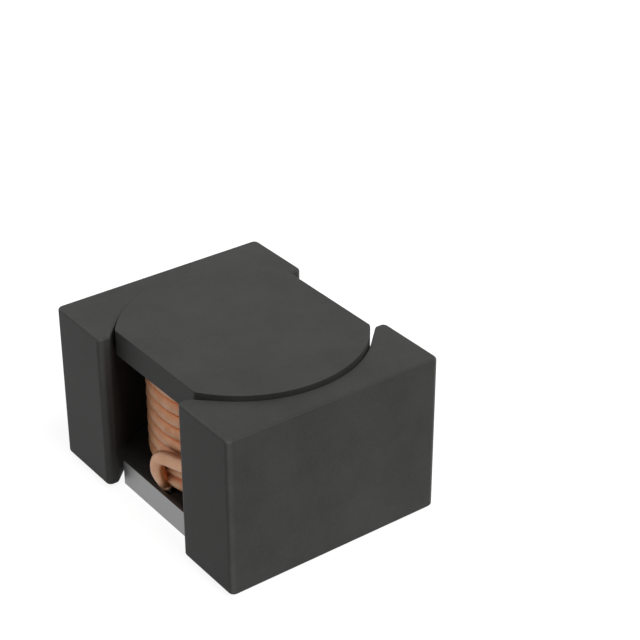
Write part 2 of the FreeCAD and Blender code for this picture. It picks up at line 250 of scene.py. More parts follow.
@dataclass(frozen=True)
class EnamelledCopper:
    """Drawn copper wire under a thin polyurethane enamel.

    The eye gets a soft salmon-pink metal whose gloss is spread by the enamel, and a saturated
    orange deep between the turns: painted bounce light, as light goes from wire to wire. The
    lead's end, in its notch, is painted near-black as shade.
    """

    name: str = "enamelled_copper"
    bright: str = "#AA866B"
    deep: str = "#A07352"
    # painted bounce light in the crevices and on the lead's inner side, and painted shade on the
    # lead's end in the notch
    painted_bounce: str = "#E8A67A"
    notch_shade: str = "#1A1512"
    metallic: float = 1.0
    roughness: tuple[float, float] = (0.62, 0.74)
    enamel: float = 0.35
    enamel_roughness: float = 0.3
    # the enamel's thickness wanders along the wire over about its own width
    blotch: float = 0.22
    blotch_span: tuple[float, float] = (0.35, 0.65)
    # a die leaves lines a few thousandths of a millimetre wide; 0.05 mm shows
    draw_line: float = 0.05
    draw_depth: float = 0.0012

    def material(self) -> bpy.types.Material:
        """Builds the finish.

        Returns:
            The material.
        """
        material = start_material(self.name)
        tree = material.node_tree
        place = add_node(tree, "ShaderNodeTexCoord").outputs["Object"]
        blotch = add_node(
            tree,
            "ShaderNodeTexNoise",
            {"Scale": per_mm(self.blotch), "Detail": 3.0, "Roughness": 0.55},
            {"Vector": place},
        )
        lines = add_node(
            tree,
            "ShaderNodeTexNoise",
            {"Scale": per_mm(self.draw_line), "Detail": 2.0},
            {"Vector": place},
        )
        contrast = add_node(
            tree,
            "ShaderNodeMapRange",
            {"From Min": self.blotch_span[0], "From Max": self.blotch_span[1]},
            {"Value": blotch.outputs["Fac"]},
        )
        colour = add_node(
            tree,
            "ShaderNodeMix",
            {"data_type": "RGBA", 6: srgb(self.deep), 7: srgb(self.bright)},
            {0: contrast.outputs[0]},
        )
        # the edge attribute mixes in the painted bounce light above 0 and the painted shade below
        # 0
        crevice = add_node(tree, "ShaderNodeAttribute", {"attribute_name": "edge"})
        warmed = add_node(
            tree,
            "ShaderNodeMix",
            {"data_type": "RGBA", 7: srgb(self.painted_bounce)},
            {0: crevice.outputs["Fac"], 6: colour.outputs[2]},
        )
        notch_shade_mask = add_node(
            tree,
            "ShaderNodeMath",
            {"operation": "MULTIPLY", 1: -1.0, "use_clamp": True},
            {0: crevice.outputs["Fac"]},
        )
        notch_shaded = add_node(
            tree,
            "ShaderNodeMix",
            {"data_type": "RGBA", 7: srgb(self.notch_shade)},
            {0: notch_shade_mask.outputs[0], 6: warmed.outputs[2]},
        )
        sheen = add_node(
            tree,
            "ShaderNodeMapRange",
            {"To Min": self.roughness[0], "To Max": self.roughness[1]},
            {"Value": lines.outputs["Fac"]},
        )
        drawn = add_node(
            tree,
            "ShaderNodeBump",
            {"Strength": 0.6, "Distance": self.draw_depth * MM},
            {"Height": lines.outputs["Fac"]},
        )
        shader = add_node(
            tree,
            "ShaderNodeBsdfPrincipled",
            {
                "Metallic": self.metallic,
                "Coat Weight": self.enamel,
                "Coat Roughness": self.enamel_roughness,
            },
            {
                "Base Color": notch_shaded.outputs[2],
                "Roughness": sheen.outputs[0],
                "Normal": drawn.outputs[0],
            },
        )
        add_node(tree, "ShaderNodeOutputMaterial", links={"Surface": shader.outputs[0]})
        return material


# a paler copy of the copper for the leads: painted light, as if lit from the left
PAINTED_LIT_COPPER = EnamelledCopper(
    name="enamelled_copper_painted_lit",
    bright="#B89276",
    deep="#AE8468",
    painted_bounce="#D88E56",
    roughness=(0.52, 0.62),
)


@dataclass(frozen=True)
class TinPlate:
    """Phosphor bronze strip, matt tin plated.

    The eye gets a grey metal with a soft, cloudy gloss and no clear reflection, and a darker
    edge where the strip was sheared after plating. The pads and the band's underside are a pale
    copy of it, painted lit.
    """

    name: str = "matt_tin_plate"
    pale: str = "#9A9A9B"
    dull: str = "#8E8E8E"
    sheared: str = "#5A5957"
    # painted light: the pale colour of the pads and the band's underside
    painted_lit_pads: str = "#E4E5E6"
    roughness: tuple[float, float] = (0.5, 0.62)
    # the bath leaves cloudy patches of about a quarter of a millimetre
    cloud: float = 0.25
    # tin crystals are a few thousandths of a millimetre; 0.03 mm shows
    crystal: float = 0.03
    crystal_depth: float = 0.0006

    def material(self) -> bpy.types.Material:
        """Builds the finish.

        Returns:
            The material.
        """
        material = start_material(self.name)
        tree = material.node_tree
        place = add_node(tree, "ShaderNodeTexCoord").outputs["Object"]
        cloud = add_node(
            tree,
            "ShaderNodeTexNoise",
            {"Scale": per_mm(self.cloud), "Detail": 4.0, "Roughness": 0.6},
            {"Vector": place},
        )
        crystal = add_node(
            tree,
            "ShaderNodeTexNoise",
            {"Scale": per_mm(self.crystal), "Detail": 2.0},
            {"Vector": place},
        )
        colour = add_node(
            tree,
            "ShaderNodeMix",
            {"data_type": "RGBA", 6: srgb(self.dull), 7: srgb(self.pale)},
            {0: cloud.outputs["Fac"]},
        )
        edge = add_node(tree, "ShaderNodeAttribute", {"attribute_name": "edge"})
        # painted light: the edge attribute turns the pads and the band's underside pale
        lit_pads_mix = add_node(
            tree,
            "ShaderNodeMix",
            {"data_type": "RGBA", 7: srgb(self.painted_lit_pads)},
            {0: edge.outputs["Fac"], 6: colour.outputs[2]},
        )
        bare = add_node(
            tree,
            "ShaderNodeMath",
            {"operation": "MULTIPLY", 1: -1.0, "use_clamp": True},
            {0: edge.outputs["Fac"]},
        )
        cut = add_node(
            tree,
            "ShaderNodeMix",
            {"data_type": "RGBA", 7: srgb(self.sheared)},
            {0: bare.outputs[0], 6: lit_pads_mix.outputs[2]},
        )
        gloss = add_node(
            tree,
            "ShaderNodeMapRange",
            {"To Min": self.roughness[0], "To Max": self.roughness[1]},
            {"Value": cloud.outputs["Fac"]},
        )
        grain = add_node(
            tree,
            "ShaderNodeBump",
            {"Strength": 0.6, "Distance": self.crystal_depth * MM},
            {"Height": crystal.outputs["Fac"]},
        )
        shader = add_node(
            tree,
            "ShaderNodeBsdfPrincipled",
            {"Metallic": 1.0},
            {
                "Base Color": cut.outputs[2],
                "Roughness": gloss.outputs[0],
                "Normal": grain.outputs[0],
            },
        )
        add_node(tree, "ShaderNodeOutputMaterial", links={"Surface": shader.outputs[0]})
        return material


# tin solder sets with a smoother, paler skin than the plating's
TIN_SOLDER = TinPlate(name="tin_solder", pale="#BDBDBE", dull="#A8A8A8")


@dataclass(frozen=True)
class Epoxy:
    """Black epoxy adhesive, cured in the gap between the drum and a shield.

    The eye gets a near-black, slightly glossy seam.
    """

    name: str = "black_epoxy"
    colour: str = "#161616"
    worn_and_painted_light: str = "#202020"
    roughness: float = 0.42
    # the bead's skin shrinks into ripples as wide as the bead
    ripple: float = 0.18
    ripple_depth: float = 0.004

    def material(self) -> bpy.types.Material:
        """Builds the finish.

        Returns:
            The material.
        """
        material = start_material(self.name)
        tree = material.node_tree
        place = add_node(tree, "ShaderNodeTexCoord").outputs["Object"]
        ripple = add_node(
            tree,
            "ShaderNodeTexNoise",
            {"Scale": per_mm(self.ripple), "Detail": 2.0},
            {"Vector": place},
        )
        colour = add_node(
            tree,
            "ShaderNodeMix",
            {"data_type": "RGBA", 6: srgb(self.colour), 7: srgb(self.worn_and_painted_light)},
            {0: ripple.outputs["Fac"]},
        )
        uneven = add_node(
            tree,
            "ShaderNodeBump",
            {"Strength": 0.6, "Distance": self.ripple_depth * MM},
            {"Height": ripple.outputs["Fac"]},
        )
        shader = add_node(
            tree,
            "ShaderNodeBsdfPrincipled",
            {"Roughness": self.roughness},
            {"Base Color": colour.outputs[2], "Normal": uneven.outputs[0]},
        )
        add_node(tree, "ShaderNodeOutputMaterial", links={"Surface": shader.outputs[0]})
        return material


class Slot(Enum):
    """The record's material slots."""

    FERRITE = "ferrite"
    COPPER = "enamelled_copper"
    TIN = "tin_plate"
    SOLDER = "solder"
    ADHESIVE = "adhesive"


# meshes


@dataclass
class MeshParts:
    """Points, faces, normals and edge attribute of a mesh that grows, in millimetres."""

    points: list[Vector] = field(default_factory=list)
    faces: list[tuple[int, ...]] = field(default_factory=list)
    normals: list[Vector] = field(default_factory=list)
    wear_and_painted_light: list[float] = field(default_factory=list)

    def add_ring(
        self, points: Sequence[Vector], normals: Iterable[Vector], wear_and_painted_light: Sequence[float] = ()
    ) -> int:
        """Adds a ring of points.

        Args:
            points: the ring's points, in order.
            normals: the surface's normal at each.
            wear_and_painted_light: the edge attribute at each, which each material reads in its
                own way: painted light and shade, and the tin's sheared edge.

        Returns:
            The number of the ring's first point.
        """
        first = len(self.points)
        self.points.extend(points)
        self.normals.extend(normals)
        self.wear_and_painted_light.extend(wear_and_painted_light or [0.0] * len(points))
        return first

    def bridge(self, lower: int, upper: int, count: int) -> None:
        """Joins two rings with quads that face outwards.

        Args:
            lower: the number of the lower ring's first point.
            upper: the number of the upper ring's first point.
            count: the number of points in each ring.
        """
        for i in range(count):
            j = (i + 1) % count
            self.faces.append((lower + i, lower + j, upper + j, upper + i))

    def close(self, first: int, count: int, reverse: bool = False) -> None:
        """Closes a ring with one flat face.

        Args:
            first: the number of the ring's first point.
            count: the number of its points.
            reverse: whether the face looks against the ring's turn.
        """
        ring = list(range(first, first + count))
        self.faces.append(tuple(reversed(ring)) if reverse else tuple(ring))

    def merge(self, other: "MeshParts", turned: float = 0.0) -> None:
        """Adds a copy of other parts.

        Args:
            other: the parts to copy.
            turned: how far the copy is turned about Z, in degrees.
        """
        turn = Matrix.Rotation(math.radians(turned), 3, "Z")
        first = len(self.points)
        self.points.extend(turn @ p for p in other.points)
        self.normals.extend(turn @ n for n in other.normals)
        self.wear_and_painted_light.extend(other.wear_and_painted_light)
        self.faces.extend(tuple(first + i for i in face) for face in other.faces)

    def build(self, name: str, material: bpy.types.Material) -> bpy.types.Object:
        """Makes the object, in metres.

        Args:
            name: the object's and its mesh's name.
            material: its finish.

        Returns:
            The new object.
        """
        mesh = bpy.data.meshes.new(name)
        mesh.from_pydata([p * MM for p in self.points], [], self.faces)
        mesh.polygons.foreach_set("use_smooth", [True] * len(mesh.polygons))
        edge = mesh.attributes.new("edge", "FLOAT", "POINT")
        edge.data.foreach_set("value", self.wear_and_painted_light)
        mesh.normals_split_custom_set_from_vertices([n.normalized() for n in self.normals])
        mesh.materials.append(material)
        mesh.update()
        piece = bpy.data.objects.new(name, mesh)
        bpy.context.scene.collection.objects.link(piece)
        return piece


@dataclass(frozen=True)
class Edge:
    """A point of an outline: place, outward normal, painted light and shade, and share of easing.
    """

    place: Vector
    out: Vector
    wear_and_painted_light: float = 0.0
    ease: float = 1.0


@dataclass(frozen=True)
class Arc:
    """Part of an outline: an arc, anticlockwise where it is convex and clockwise where hollow.

    Its angles are in degrees, worn is the painted light at its middle (painted shade below 0),
    and ease its share of the easing.
    """

    x: float
    y: float
    radius: float
    start: float
    end: float
    worn_and_painted_light: float = 0.0
    ease: float = 1.0

    def sample(self, step: float) -> list[Edge]:
        """Finds points along the arc.

        Args:
            step: the greatest distance between them, in millimetres.

        Returns:
            The points, both ends included.
        """
        sweep = self.end - self.start
        length = math.radians(abs(sweep)) * self.radius
        count = max(FEWEST_SEGMENTS, math.ceil(length / step))
        side = 1 if sweep > 0 else -1
        found = []
        for i in range(count + 1):
            angle = math.radians(self.start + sweep * i / count)
            out = Vector((math.cos(angle), math.sin(angle), 0))
            wear_and_painted_light = self.worn_and_painted_light * math.sin(math.pi * i / count) ** 2
            place = Vector((self.x, self.y, 0)) + out * self.radius
            found.append(Edge(place, out * side, wear_and_painted_light, self.ease))
        return found


def outline_of(arcs: Sequence[Arc], step: float) -> list[Edge]:
    """The closed outline that runs straight from each arc to the next.

    Args:
        arcs: the arcs, anticlockwise round the piece.
        step: the greatest distance between points, in millimetres.

    Returns:
        The outline's points.
    """
    found: list[Edge] = []
    for arc in arcs:
        points = arc.sample(step)
        if found:
            last, first = found[-1], points[0]
            gap = (first.place - last.place).length
            for i in range(1, math.ceil(gap / step)):
                share = i * step / gap
                ease = last.ease + (first.ease - last.ease) * share
                found.append(Edge(last.place.lerp(first.place, share), last.out, 0.0, ease))
            if gap < TOUCHING:
                found.pop()
        found.extend(points)
    if (found[-1].place - found[0].place).length < TOUCHING:
        found.pop()
    return found


def eased_prism(
    outline: Sequence[Edge],
    low: float,
    high: float,
    ease: float,
    steps: int,
    painted_light: float = 0.0,
    painted_shade: float = 0.0,
) -> MeshParts:
    """A solid with that outline from one height to another, its edges eased to a radius.

    Args:
        outline: its points, anticlockwise.
        low: the underside's height.
        high: the top's height.
        ease: the radius of its edges.
        steps: the segments in each eased edge.
        painted_light: the painted highlight on an eased edge's middle, on sides that face X.
        painted_shade: the painted shade there, on sides that face Y.

    Returns:
        The closed mesh.
    """
    parts = MeshParts()
    count = len(outline)
    rings = []
    for height, up, order in ((low, -1, range(steps + 1)), (high, 1, range(steps, -1, -1))):
        rise = Vector((0, 0, up))
        for i in order:
            angle = i / steps * math.pi / 2
            across, along = math.sin(angle), math.cos(angle)
            rings.append(
                parts.add_ring(
                    [
                        e.place - (e.out * (1 - across) + rise * (1 - along)) * ease * e.ease
                        + Vector((0, 0, height))
                        for e in outline
                    ],
                    [e.out * across + rise * along for e in outline],
                    # the edge attribute: painted light at the arcs' middles, and along the eased
                    # edges a painted highlight on sides facing X and painted shade on sides facing
                    # Y
                    [
                        e.wear_and_painted_light * across**2
                        + 2 * across * along * (painted_light * abs(e.out.x) - painted_shade * abs(e.out.y))
                        for e in outline
                    ],
                )
            )
    for lower, upper in zip(rings, rings[1:]):
        parts.bridge(lower, upper, count)
    parts.close(rings[0], count, reverse=True)
    parts.close(rings[-1], count)
    return parts


def round_wire(
    path: Sequence[Vector],
    radius: float,
    sides: int,
    tone: Callable[[Vector, Vector], float],
    tip_share: float = 0.7,
) -> MeshParts:
    """A round wire along a path, with eased ends.

    Args:
        path: the centre line's points.
        radius: the wire's radius.
        sides: the number of points round it.
        tone: the painted light and shade at a point of the path, where the surface faces a way:
            outward is x, up z.
        tip_share: the share of the radius that the flat ends have.

    Returns:
        The closed mesh.
    """
    parts = MeshParts()
    count = len(path)
    along = [
        (path[min(i + 1, count - 1)] - path[max(i - 1, 0)]).normalized() for i in range(count)
    ]
    side = along[0].orthogonal().normalized()
    rings = []
    for i, (point, ahead) in enumerate(zip(path, along)):
        side = (side - ahead * side.dot(ahead)).normalized()
        across = ahead.cross(side)
        outs = [
            side * math.cos(a) + across * math.sin(a)
            for a in (2 * math.pi * k / sides for k in range(sides))
        ]
        away = Vector((point.x, point.y, 0)).normalized()
        tones = [tone(point, Vector((o.dot(away), 0, o.z))) for o in outs]
        tip = [point + o * radius * tip_share for o in outs]
        if i == 0:
            rings.append(parts.add_ring(tip, [-ahead] * sides, tones))
        rings.append(parts.add_ring([point + o * radius for o in outs], outs, tones))
        if i == count - 1:
            rings.append(parts.add_ring(tip, [ahead] * sides, tones))
    for lower, upper in zip(rings, rings[1:]):
        parts.bridge(lower, upper, sides)
    parts.close(rings[0], sides, reverse=True)
    parts.close(rings[-1], sides)
    return parts


def through(points: Sequence[Vector], per_span: int) -> list[Vector]:
    """A smooth line through the points.

    Args:
        points: the points to pass, two or more.
        per_span: the number of steps between neighbours.

    Returns:
        The line's points.
    """
    padded = [points[0] * 2 - points[1], *points, points[-1] * 2 - points[-2]]
    found = []
    for a, b, c, d in zip(padded, padded[1:], padded[2:], padded[3:]):
        for i in range(per_span):
            t = i / per_span
            bow = (a * 2 - b * 5 + c * 4 - d) * t * t
            twist = (b * 3 - a - c * 3 + d) * t**3
            found.append((b * 2 + (c - a) * t + bow + twist) / 2)
    found.append(points[-1].copy())
    return found


def polar(radius: float, azimuth: float, height: float) -> Vector:
    """A point at a radius and an azimuth in degrees about Z."""
    angle = math.radians(azimuth)
    return Vector((radius * math.cos(angle), radius * math.sin(angle), height))


def smooth(share: float) -> float:
    """Eases a share from 0 to 1 in and out."""
    share = min(max(share, 0.0), 1.0)
    return share * share * (3 - 2 * share)


# sub-assemblies


class SubAssembly:
    """What the sub-assemblies share: how their pieces take a place in the frame."""

    def stand_in(self, piece: bpy.types.Object, node: str, slot: Slot) -> None:
        """Lets a piece stand for a CAD node, on the part's one body.

        Args:
            piece: the finer mesh.
            node: the CAD node's name.
            slot: the record's material slot; not used.
        """
        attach(piece, "root")
        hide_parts(node)
        LOG.info("%s stands for %s: %d faces", piece.name, node, len(piece.data.polygons))

    def stand_in_twice(
        self,
        shape: MeshParts,
        names: tuple[tuple[str, str], tuple[str, str]],
        material: bpy.types.Material,
        slot: Slot,
    ) -> None:
        """Builds a piece and its twin, which is turned half round about Z.

        Args:
            shape: the piece's shape.
            names: the piece's name and its CAD node's, and then the twin's two.
            material: their finish.
            slot: the record's material slot.
        """
        for (name, node), turned in zip(names, (0.0, 180.0)):
            parts = MeshParts()
            parts.merge(shape, turned)
            self.stand_in(parts.build(name, material), node, slot)

    def dress(self, node: str, material: bpy.types.Material) -> None:
        """Gives a CAD node that stays its finish.

        Args:
            node: the CAD node's name.
            material: its finish.
        """
        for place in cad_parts[node].material_slots:
            place.material = material
        LOG.info("%s keeps its solid, in %s", node, material.name)


@dataclass
class DrumCore(SubAssembly):
    """The ferrite drum: two flanges with flats on a round post."""

    flange_radius: float = 2.04
    upper_flat: float = 1.686
    lower_flat: float = 1.612
    notch_floor: float = 1.352
    notch_half_width: float = 0.14
    notch_mouth: float = 0.02
    notch_root: float = 0.03
    base: float = 0.08
    window_floor: float = 0.48
    window_roof: float = 2.529
    top: float = 2.985
    post_radius: float = 0.87
    post_ease: float = 0.005
    post_ease_steps: int = 1
    upper_corner: float = 0.1
    lower_corner: float = 0.012
    ease: float = 0.006
    ease_steps: int = 2
    # painted shade on the flanges' round rims
    rim_shade: float = -0.35
    step: float = 0.05

    def flange_outline(self, flat: float, ease: float, notched: bool) -> list[Edge]:
        """The round flange's outline between its two flats.

        Args:
            flat: how far the flats stand from the axis.
            ease: the radius of the corners beside the flats.
            notched: whether the flats have the wire's notches.

        Returns:
            The outline's points.
        """
        x = flat - ease
        y = math.sqrt((self.flange_radius - ease) ** 2 - x * x)
        turn = math.degrees(math.atan2(y, x))
        arcs = []
        for side, angle in ((1, 0.0), (-1, 180.0)):
            start, end = angle - 180 + turn, angle - turn
            arcs.append(Arc(0, 0, self.flange_radius, start, end, self.rim_shade))
            arcs.append(Arc(side * x, -side * y, ease, angle - turn, angle))
            if notched:
                arcs.extend(self.notch(flat, side, angle))
            arcs.append(Arc(side * x, side * y, ease, angle, angle + turn))
        return outline_of(arcs, self.step)

    def notch(self, flat: float, side: int, angle: float) -> list[Arc]:
        """The four corners of the notch in one flat.

        Args:
            flat: how far the flat stands from the axis.
            side: 1 for the right flat and -1 for the left one.
            angle: the way the flat faces, in degrees.

        Returns:
            The corners' arcs.
        """
        mouth, root, half = self.notch_mouth, self.notch_root, self.notch_half_width
        mouth_x, mouth_y = side * (flat - mouth), side * (half + mouth)
        root_x, root_y = side * (self.notch_floor + root), side * (half - root)
        return [
            Arc(mouth_x, -mouth_y, mouth, angle, angle + 90),
            Arc(root_x, -root_y, root, angle + 270, angle + 180),
            Arc(root_x, root_y, root, angle + 180, angle + 90),
            Arc(mouth_x, mouth_y, mouth, angle - 90, angle),
        ]

    def build(self, ferrite: bpy.types.Material) -> None:
        """Builds the drum.

        Args:
            ferrite: its finish.
        """
        parts = MeshParts()
        for flat, corner, notched, low, high in (
            (self.upper_flat, self.upper_corner, False, self.window_roof, self.top),
            (self.lower_flat, self.lower_corner, True, self.base, self.window_floor),
        ):
            outline = self.flange_outline(flat, corner, notched)
            parts.merge(eased_prism(outline, low, high, self.ease, self.ease_steps))
        halves = [Arc(0, 0, self.post_radius, start, start + 180) for start in (0, 180)]
        low, high = self.window_floor - self.ease, self.window_roof + self.ease
        post = outline_of(halves, self.step)
        parts.merge(eased_prism(post, low, high, self.post_ease, self.post_ease_steps))
        self.stand_in(parts.build("ferrite_drum", ferrite), "drum_core", Slot.FERRITE)


@dataclass
class Shields(SubAssembly):
    """The pair of C-shaped ferrite shields."""

    half_width: float = 2.0
    half_length: float = 2.5
    half_slot: float = 1.128
    bore_radius: float = 2.075
    base: float = 0.08
    top: float = 2.912
    flare_y: float = 1.47
    corner: float = 0.10
    leg_corner: float = 0.10
    nose_corner: float = 0.08
    # painted highlights on the outer and the legs' vertical corners, and along the eased edges a
    # painted highlight on sides facing X and painted shade on sides facing Y
    corner_highlight: float = 1.4
    leg_highlight: float = 0.8
    painted_light: float = 0.8
    painted_shade: float = 0.3
    ease: float = 0.05
    ease_steps: int = 6
    bore_ease: float = 0.4
    step: float = 0.06

    def outline(self) -> list[Edge]:
        """The front shield's outline: a round bore that runs straight on to the legs' ends.

        Returns:
            The outline's points.
        """
        leg, nose, bore = self.leg_corner, self.nose_corner, self.bore_radius
        back_x, back_y = self.half_width - self.corner, self.half_length - self.corner
        leg_x, leg_y = self.half_width - leg, self.half_slot + leg
        flare_x = math.sqrt(bore**2 - self.flare_y**2)
        turn = math.degrees(math.atan2(flare_x, self.flare_y))
        nose_y = self.half_slot + nose
        nose_x = (bore * (bore + nose) - self.flare_y * nose_y) / flare_x
        return outline_of(
            [
                Arc(-back_x, -back_y, self.corner, 180, 270, self.corner_highlight),
                Arc(back_x, -back_y, self.corner, 270, 360, self.corner_highlight),
                Arc(leg_x, -leg_y, leg, 0, 90, self.leg_highlight),
                Arc(nose_x, -nose_y, nose, 90, 90 + turn),
                Arc(0, 0, bore, turn - 90, -90 - turn, 0.0, self.bore_ease),
                Arc(-nose_x, -nose_y, nose, 90 - turn, 90),
                Arc(-leg_x, -leg_y, leg, 90, 180, self.leg_highlight),
            ],
            self.step,
        )

    def build(self, ferrite: bpy.types.Material) -> None:
        """Builds both shields.

        Args:
            ferrite: their finish.
        """
        shield = eased_prism(
            self.outline(),
            self.base,
            self.top,
            self.ease,
            self.ease_steps,
            self.painted_light,
            self.painted_shade,
        )
        names = ("ferrite_shield_front", "shield_front"), ("ferrite_shield_rear", "shield_rear")
        self.stand_in_twice(shield, names, ferrite, Slot.FERRITE)


@dataclass
class Winding(SubAssembly):
    """Three layers of round wire on the post, and the two leads down to the terminals.

    The left lead leaves the third turn and runs level, by radius, azimuth and height, and then
    over its bend and down into the notch, by x, y and z.
    """

    wire: float = 0.24
    pitch: float = 0.24
    layer_radii: tuple[float, float, float] = (1.0, 1.24, 1.48)
    lowest: float = 0.608
    highest: float = 2.401
    outer_start: float = 0.7253
    outer_start_azimuth: float = -172.0
    step_up: float = 30.0
    last_turn: float = 2396.0
    lead_leaves: tuple[float, float] = (560.0, 618.0)
    dive: float = 0.22
    dive_sweep: float = 24.0
    # painted light and shade: bounce light in the turns' crevices, a warm reflection of the turns
    # on the lead's inner side, and shade on the lead's end in the notch
    crevice_gain: float = 1.1
    warm_from: float = 0.6
    warm_gain: float = 1.4
    notch_shade_top: float = 0.5
    notch_shade_depth: float = 0.05
    azimuth_step: float = 5.0
    sides: int = 20
    lead_sides: int = 24
    lead_steps: int = 5
    lead_level: tuple[tuple[float, float, float], ...] = (
        (1.48, -100.0, 1.255),
        (1.53, -108.0, 1.268),
        (1.63, -118.0, 1.285),
        (1.69, -130.0, 1.297),
        (1.70, -143.0, 1.302),
        (1.70, -155.0, 1.302),
        (1.705, -164.0, 1.300),
        (1.712, -170.5, 1.293),
    )
    lead_drop: tuple[tuple[float, float, float], ...] = (
        (-1.722, -0.185, 1.276),
        (-1.733, -0.122, 1.240),
        (-1.742, -0.085, 1.180),
        (-1.747, -0.062, 1.105),
        (-1.742, -0.046, 1.025),
        (-1.722, -0.028, 0.940),
        (-1.686, -0.008, 0.852),
        (-1.640, 0.024, 0.762),
        (-1.590, 0.058, 0.675),
        (-1.545, 0.084, 0.595),
        (-1.513, 0.084, 0.525),
        (-1.492, 0.050, 0.450),
        (-1.485, 0.010, 0.370),
        (-1.485, 0.0, 0.280),
        (-1.485, 0.0, 0.175),
    )

    def turns(self) -> tuple[list[Vector], list[Vector]]:
        """Winds the wire's centre line up and down through its three layers.

        Returns:
            The line below the place where the lead leaves, and the line above it.
        """
        found: list[Vector] = []
        inner, middle, outer = self.layer_radii
        layer_sweep = (self.highest - self.lowest) / self.pitch * 360
        middle_end = self.outer_start_azimuth - self.step_up
        middle_start = middle_end - layer_sweep
        inner_end = middle_start - self.step_up
        azimuth = inner_end - layer_sweep
        below: list[Vector] = []
        while azimuth < self.last_turn:
            if not below and azimuth > self.lead_leaves[0]:
                below, found, azimuth = found, [], self.lead_leaves[1]
            if azimuth < inner_end:
                radius, height = inner, self.highest - (inner_end - azimuth) / 360 * self.pitch
            elif azimuth < middle_start:
                share = smooth((azimuth - inner_end) / self.step_up)
                radius, height = inner + (middle - inner) * share, self.highest
            elif azimuth < middle_end:
                radius, height = middle, self.highest - (azimuth - middle_start) / 360 * self.pitch
            elif azimuth < self.outer_start_azimuth:
                share = smooth((azimuth - middle_end) / self.step_up)
                radius = middle + (outer - middle) * share
                height = self.lowest + (self.outer_start - self.lowest) * share
            else:
                rise = (azimuth - self.outer_start_azimuth) / 360 * self.pitch
                radius, height = outer, min(self.outer_start + rise, self.highest)
                if not below:
                    share = (azimuth - self.lead_leaves[0]) / self.dive_sweep + 1
                    radius -= self.dive * smooth(share)
            found.append(polar(radius, azimuth, height))
            azimuth += self.azimuth_step
        return below, found

    def lead(self) -> list[Vector]:
        """The centre line of the left lead."""
        level = [polar(*point) for point in self.lead_level]
        return through(level + [Vector(point) for point in self.lead_drop], self.lead_steps)

    def tone_of_turns(self, _place: Vector, way: Vector) -> float:
        """Painted bounce light in the crevices on both sides of a turn's crest."""
        return min(1.0, self.crevice_gain * (1 - way.x))

    def tone_of_lead(self, place: Vector, way: Vector) -> float:
        """A painted reflection of the turns warms the lead's inner side; its end is painted shade.

        Args:
            place: a point of the lead's centre line.
            way: the way the surface faces there: outward is x, up z.

        Returns:
            Painted light: 1 where the reflection is warmest; painted shade: -1 at the darkest end.
        """
        if place.z < self.notch_shade_top:
            return -smooth((self.notch_shade_top - place.z) / self.notch_shade_depth)
        inward = max(0.0, self.warm_from - way.x) * self.warm_gain
        return min(1.0, inward) * (1 - max(0.0, way.z))

    def build(self, copper: bpy.types.Material, painted_light: bpy.types.Material) -> None:
        """Builds the turns and both leads.

        Args:
            copper: the finish of the turns.
            painted_light: the finish of the leads, a paler copy of the copper that is painted lit.
        """
        turns = MeshParts()
        for path in self.turns():
            turns.merge(round_wire(path, self.wire / 2, self.sides, self.tone_of_turns))
        self.stand_in(turns.build("copper_winding", copper), "winding", Slot.COPPER)
        lead = round_wire(self.lead(), self.wire / 2, self.lead_sides, self.tone_of_lead)
        names = ("copper_lead_left", "winding"), ("copper_lead_right", "winding")
        self.stand_in_twice(lead, names, painted_light, Slot.COPPER)


# a point of the band's section: its x and z, and its normal's x and z
SectionPoint = tuple[float, float, float, float]


